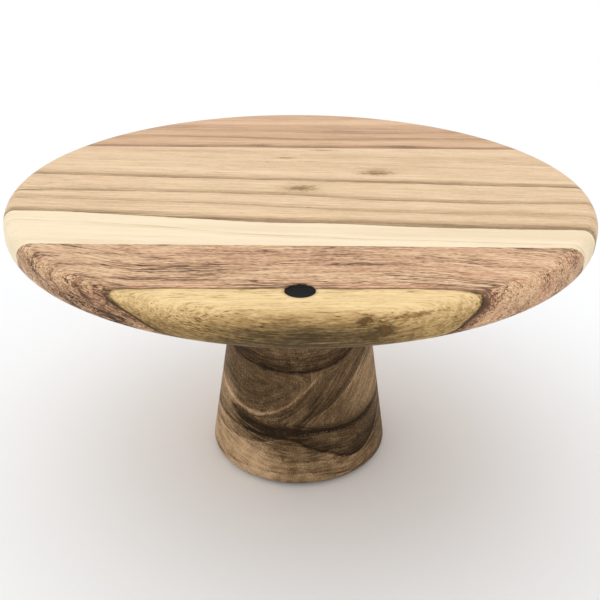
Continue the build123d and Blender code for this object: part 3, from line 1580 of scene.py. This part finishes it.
@dataclass
class BasePads:
    """Felt pads under the base, set out evenly on a circle."""

    nodes: tuple[str, ...] = ("felt_pad_1", "felt_pad_2", "felt_pad_3", "felt_pad_4")
    edge_softness: float = 0.45
    flat_share: float = 0.8
    flat_rings: int = 3
    edge_steps: int = 5
    top_steps: int = 4
    segments: int = 64

    def __post_init__(self) -> None:
        """Reads the pads' size and circle from the frame."""
        low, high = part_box(self.nodes[0])
        middle = (low + high) / 2
        self.radius = (high.x - low.x) / 2 / MM
        self.thickness = (high.z - low.z) / MM
        self.circle = math.hypot(middle.x, middle.y)
        self.first_angle = math.atan2(middle.y, middle.x)

    def _profile(self) -> list[Turned]:
        """Draws a pad's section.

        Returns:
            The profile, from the middle of its underside round to the middle of its top.
        """
        foot, top = (self.radius, 0.0), (self.radius, self.thickness)
        middle = Turned(0, 0)
        profile = [middle, *run(middle, Turned(self.radius * self.flat_share, 0), self.flat_rings)]
        profile += rounded((0, 0), foot, top, self.edge_softness, self.edge_steps)
        profile += rounded(foot, top, (0, self.thickness), self.edge_softness / 2, self.top_steps)
        return profile + run(profile[-1], Turned(0, self.thickness), self.top_steps)

    @staticmethod
    def _tree() -> TreeMaker:
        """Builds the Geometry Nodes tree that sets copies of one pad out on a circle.

        Returns:
            The tree's maker.
        """
        maker = TreeMaker("pads_on_a_circle", {
            "Pad": "NodeSocketGeometry", "Count": "NodeSocketInt", "Circle": "NodeSocketFloat",
            "First Angle": "NodeSocketFloat", "Finish": "NodeSocketMaterial",
        })
        graph, given = maker.graph, maker.inputs
        ring = graph.node(
            "GeometryNodeMeshCircle", inputs={"Vertices": given["Count"], "Radius": given["Circle"]})
        turn = graph.node("ShaderNodeCombineXYZ", inputs={2: given["First Angle"]})
        turned = graph.node("GeometryNodeTransform", inputs={"Geometry": ring, "Rotation": turn})
        maker.close(graph.node(
            "GeometryNodeInstanceOnPoints", inputs={"Points": turned, "Instance": given["Pad"]}))
        return maker

    def build(self, lathe: Lathe) -> list[bpy.types.Object]:
        """Makes one pad and sets the copies out.

        Args:
            lathe: the shared lathe.

        Returns:
            The one piece that holds the pads.
        """
        felt = PressedFelt("brown_felt").build()
        piece = lathe.turn("felt_pads", self._profile(), self.segments, felt)
        self._tree().apply(piece, {
            "Count": len(self.nodes), "Circle": self.circle, "First Angle": self.first_angle,
            "Finish": felt,
        })
        tidy_faces(piece.data)
        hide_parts(*self.nodes)
        return [piece]


# ------------------------------------------------------------------ studio


@dataclass
class Studio:
    """Pale floor, soft light from above, and the camera.

    Its lengths are metres, except the lens and the sensor, which are millimetres.
    """

    floor_size: float = 14.0
    camera_setback: float = 0.415
    camera_height: float = 0.3013
    camera_pitch: float = 26.82
    camera_roll: float = 0.5
    near_clip: float = 0.01
    lens: float = 49.49
    sensor: float = 36.0
    sky: float = 0.90
    sun_strength: float = 0.72
    sun_softness: float = 80.0
    sun_from: tuple[float, float, float] = (-0.25, 0.20, 1.0)

    def _floor(self) -> None:
        """Lays the floor."""
        half = self.floor_size / 2
        mesh = bpy.data.meshes.new("floor")
        corners = [(-half, -half, 0), (half, -half, 0), (half, half, 0), (-half, half, 0)]
        mesh.from_pydata(corners, [], [(0, 1, 2, 3)])
        mesh.materials.append(StudioFloor("pale_floor").build())
        new_piece("floor", mesh)

    def _light(self) -> None:
        """Sets the sky and the key light."""
        world = bpy.data.worlds.new("soft_sky")
        world.use_nodes = True
        world.node_tree.nodes.clear()
        graph = NodeGraph(world.node_tree)
        glow = graph.node("ShaderNodeBackground", inputs={"Color": (1, 1, 1, 1), "Strength": self.sky})
        graph.node("ShaderNodeOutputWorld", inputs={"Surface": glow}, output=None)
        bpy.context.scene.world = world
        key = bpy.data.lights.new("key", "SUN")
        key.energy = self.sun_strength
        key.angle = math.radians(self.sun_softness)
        lamp = bpy.data.objects.new("key", key)
        lamp.rotation_euler = (-Vector(self.sun_from)).to_track_quat("-Z", "Y").to_euler()
        bpy.context.scene.collection.objects.link(lamp)

    def _camera(self) -> None:
        """Places the camera in front of the stand, looking down at it."""
        camera = bpy.data.cameras.new("camera")
        camera.lens = self.lens
        camera.sensor_width = self.sensor
        camera.clip_start = self.near_clip
        seat = bpy.data.objects.new("camera", camera)
        seat.location = (0, -self.camera_setback, self.camera_height)
        seat.rotation_mode = "ZXY"
        seat.rotation_euler = Euler(
            (math.radians(90 - self.camera_pitch), 0, math.radians(self.camera_roll)), "ZXY")
        bpy.context.scene.collection.objects.link(seat)
        bpy.context.scene.camera = seat

    def build(self) -> None:
        """Sets the whole studio up."""
        self._floor()
        self._light()
        self._camera()
        bpy.context.scene.view_settings.view_transform = "Standard"


def main() -> None:
    """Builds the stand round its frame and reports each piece."""
    logging.basicConfig(level=logging.INFO, format="%(name)s: %(message)s")
    Studio().build()
    lathe = Lathe()
    fastening = Fastening()
    for assembly in (Plate(fastening), Pedestal(fastening), fastening, BasePads()):
        for piece in assembly.build(lathe):
            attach(piece, BODY)
            LOG.info("%s of %s: %d faces", piece.name, type(assembly).__name__, len(piece.data.polygons))


if __name__ == "__main__":
    main()
